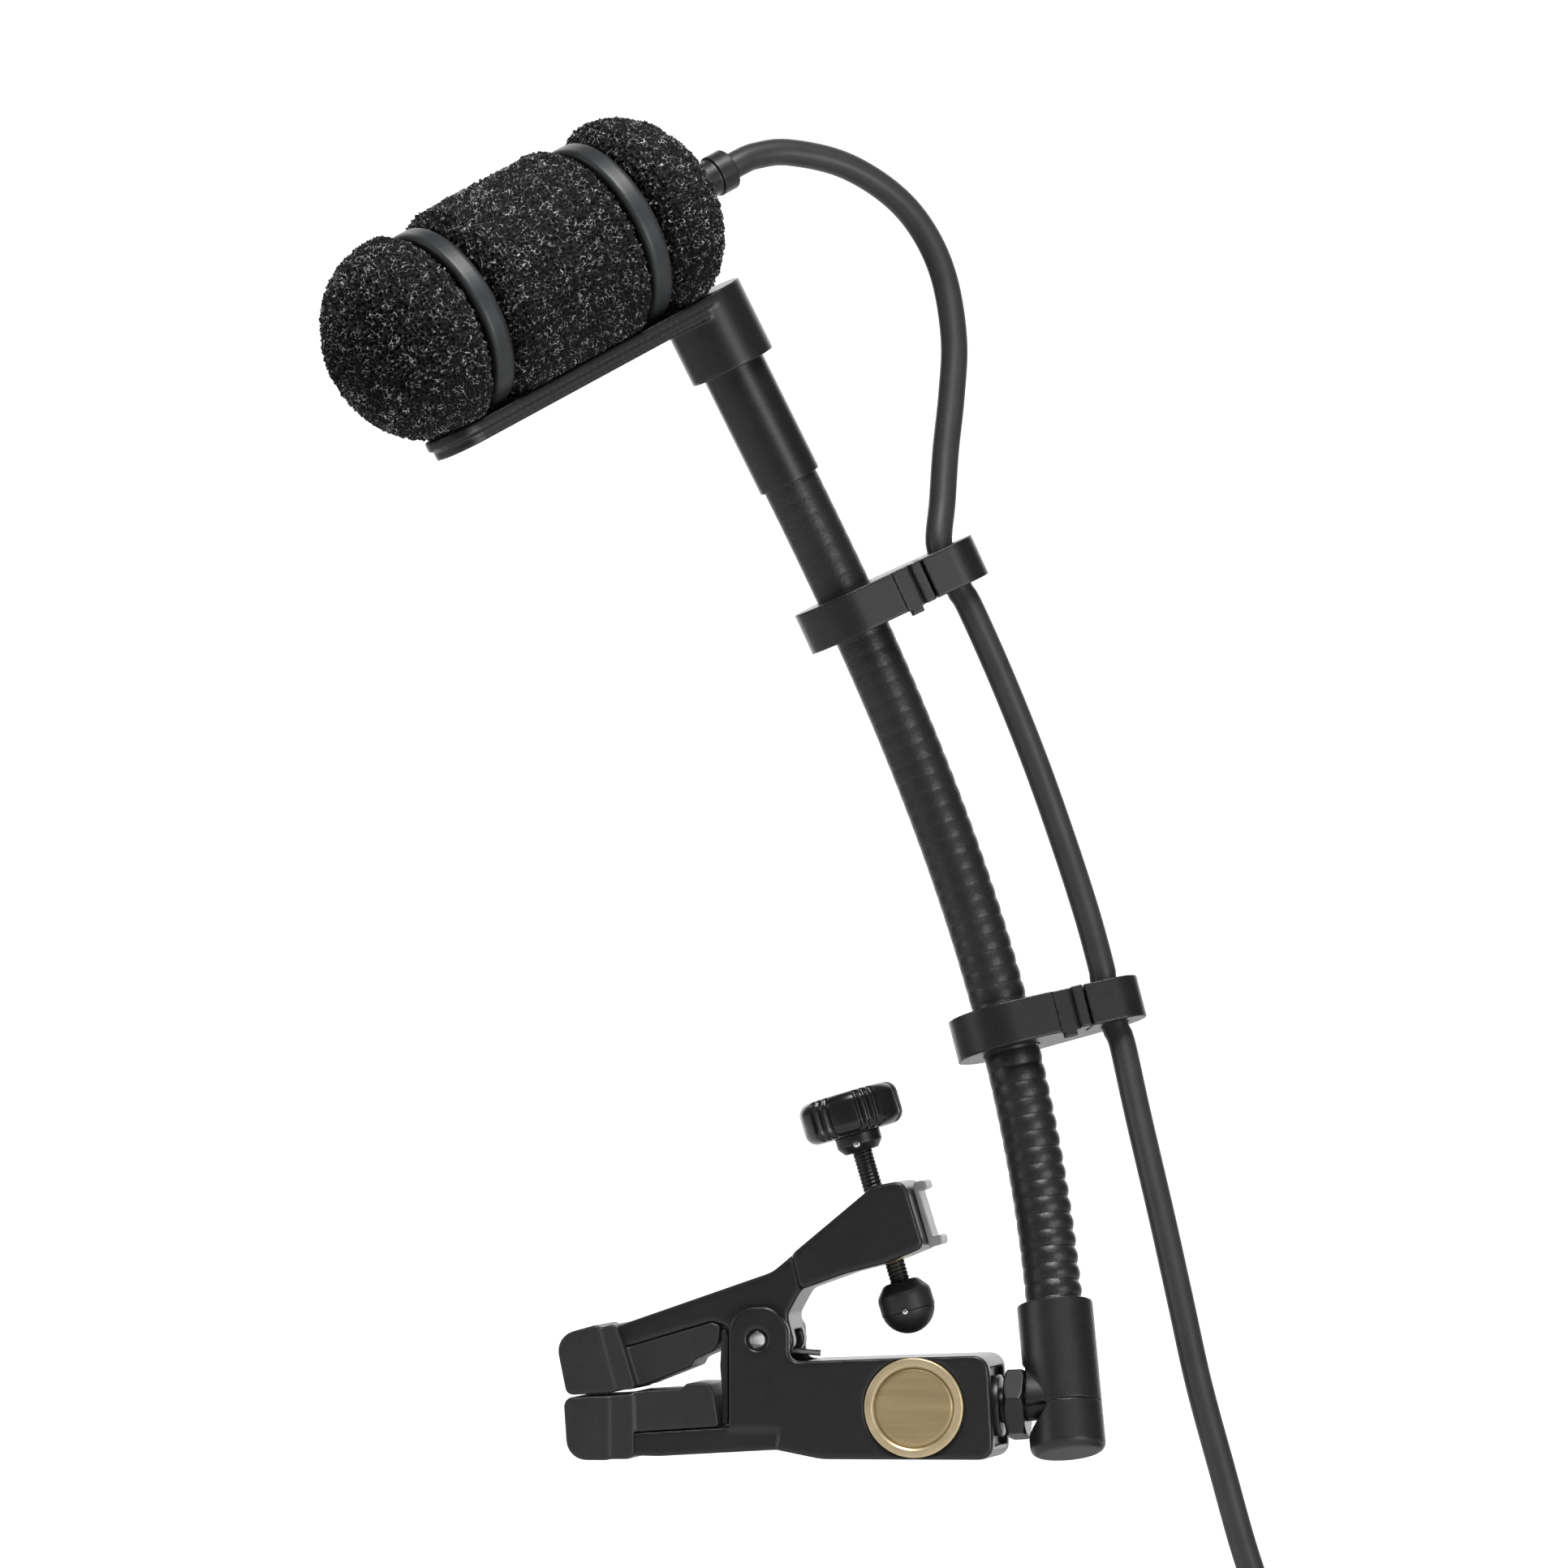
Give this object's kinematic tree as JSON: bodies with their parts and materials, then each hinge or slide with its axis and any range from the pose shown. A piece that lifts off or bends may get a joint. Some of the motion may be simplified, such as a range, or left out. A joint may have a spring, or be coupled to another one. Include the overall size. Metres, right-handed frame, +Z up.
{
  "type": "clip-on gooseneck instrument microphone",
  "caption": "Small condenser microphone with foam windscreen in a hoop cradle on a bendable gooseneck, with a swivelling spring clip, thumb screw and lead.",
  "frame": {"origin": "centre of the jaws' gripping line, where the clip holds on to an instrument or stand", "axes": "+X from the jaws back to the swivel elbow, +Y towards the far side of the clip, +Z up along the neck's rise"},
  "size_m": [0.1561, 0.0849, 0.1867],
  "materials": {
    "black_plastic": "fine satin moulded nylon",
    "knob_plastic": "satin moulded",
    "black_metal": "satin black coating",
    "bright_steel": "plain steel",
    "light_zinc": "light grey plate",
    "brass_insert": "turned",
    "badge_brass": "brushed, lacquered",
    "gold_brass": "gold plated",
    "liner_rubber": "matt moulded rubber",
    "hoop_rubber": "satin moulded rubber",
    "foam": "open-cell foam",
    "sleeve_rubber": "shrink sleeve, slight sheen",
    "lead_jacket": "satin jacket",
    "relief_plastic": "satin",
    "tie_fabric": "woven tape",
    "board": "solder mask",
    "plug_metal": "satin black-grey plating"
  },
  "bodies": {
    "clip_base": {"lower_jaw": "black_plastic", "hinge_pin": "bright_steel", "jaw_spring": "bright_steel", "lower_liner": "liner_rubber", "liner_web": "liner_rubber", "badge_rim": "badge_brass", "badge_disc": "badge_brass", "spring_washer": "black_metal", "lead_lower": "lead_jacket", "lead_coil": "lead_jacket", "coil_tie": "tie_fabric", "lead_tail": "lead_jacket", "plug_boot": "relief_plastic", "plug_shell": "plug_metal", "plug_insert": "black_plastic", "contact_one": "gold_brass", "contact_two": "gold_brass", "contact_three": "gold_brass", "contact_four": "gold_brass"},
    "lever": {"upper_lever": "black_plastic", "upper_liner": "liner_rubber", "end_channel": "light_zinc", "thread_insert": "brass_insert"},
    "pressure_foot": {"foot_upper": "knob_plastic", "foot_lower": "knob_plastic", "foot_pin": "bright_steel"},
    "clamp_screw": {"screw_spindle": "black_metal", "thumb_knob": "knob_plastic", "knob_hub": "black_plastic", "hub_pin": "bright_steel"},
    "elbow_arm": {"swivel_stud": "bright_steel", "lock_nut": "black_metal", "elbow": "black_plastic", "elbow_cap": "black_plastic", "neck_coil_lower": "bright_steel", "neck_sleeve_lower": "sleeve_rubber", "lower_cable_clip": "black_plastic", "lead_middle": "lead_jacket"},
    "upper_neck": {"neck_coil_middle": "bright_steel", "neck_sleeve_middle": "sleeve_rubber", "neck_coil_upper": "bright_steel", "neck_sleeve_upper": "sleeve_rubber", "top_ferrule": "black_metal", "ferrule_ring": "hoop_rubber", "upper_cable_clip": "black_plastic", "lead_upper": "lead_jacket"},
    "head": {"cradle": "black_plastic", "front_hoop": "hoop_rubber", "rear_hoop": "hoop_rubber", "windscreen": "foam", "mic_body": "black_metal", "front_grille": "black_metal", "capsule": "gold_brass", "circuit_board": "board", "rear_cap": "black_plastic", "strain_relief": "relief_plastic"},
    "plug_button": {"plug_latch": "black_plastic"}
  },
  "joints": [
    {"name": "jaw_hinge", "type": "hinge", "parent": "clip_base", "child": "lever", "pos_m": [0.01965, 0, 0.00657], "axis": [0, 1, 0], "range_deg": [0, 6.5], "stiffness_Nm_per_rad": 0.3, "springref_deg": -17.19, "deforming": ["jaw_spring", "liner_web"]},
    {"name": "screw_travel", "type": "slide", "parent": "lever", "child": "pressure_foot", "axis": [-0.284, 0, 0.9588], "range_m": [-0.0025, 0.002]},
    {"name": "screw_turn", "type": "hinge", "parent": "pressure_foot", "child": "clamp_screw", "pos_m": [0.0364, 0, 0.0104], "axis": [-0.284, 0, 0.9588], "range_deg": [-2001, 1601]},
    {"name": "neck_swivel", "type": "hinge", "parent": "clip_base", "child": "elbow_arm", "pos_m": [0.0473, 0, -0.00115], "axis": [0.9986, 0, 0.0523], "range_deg": [-45, 45], "deforming": ["lead_lower"]},
    {"name": "neck_bend", "type": "hinge", "parent": "elbow_arm", "child": "upper_neck", "pos_m": [0.03854, 0.00944, 0.06809], "axis": [0, 1, 0], "range_deg": [-30, 30], "deforming": ["neck_coil_middle", "neck_sleeve_middle", "lead_middle"]},
    {"name": "head_swivel", "type": "hinge", "parent": "upper_neck", "child": "head", "pos_m": [0.01525, 0.00304, 0.12046], "axis": [-0.4236, -0.1641, 0.8909], "range_deg": [-60, 60], "deforming": ["lead_upper"]},
    {"name": "latch_press", "type": "slide", "parent": "clip_base", "child": "plug_button", "axis": [0, 0, -1], "range_m": [0, 0.0008], "stiffness_N_per_m": 200, "springref_m": -0.002}
  ],
  "couplings": [
    {"joint": "screw_turn", "follows": "screw_travel", "rad_per_m": 13963}
  ]
}
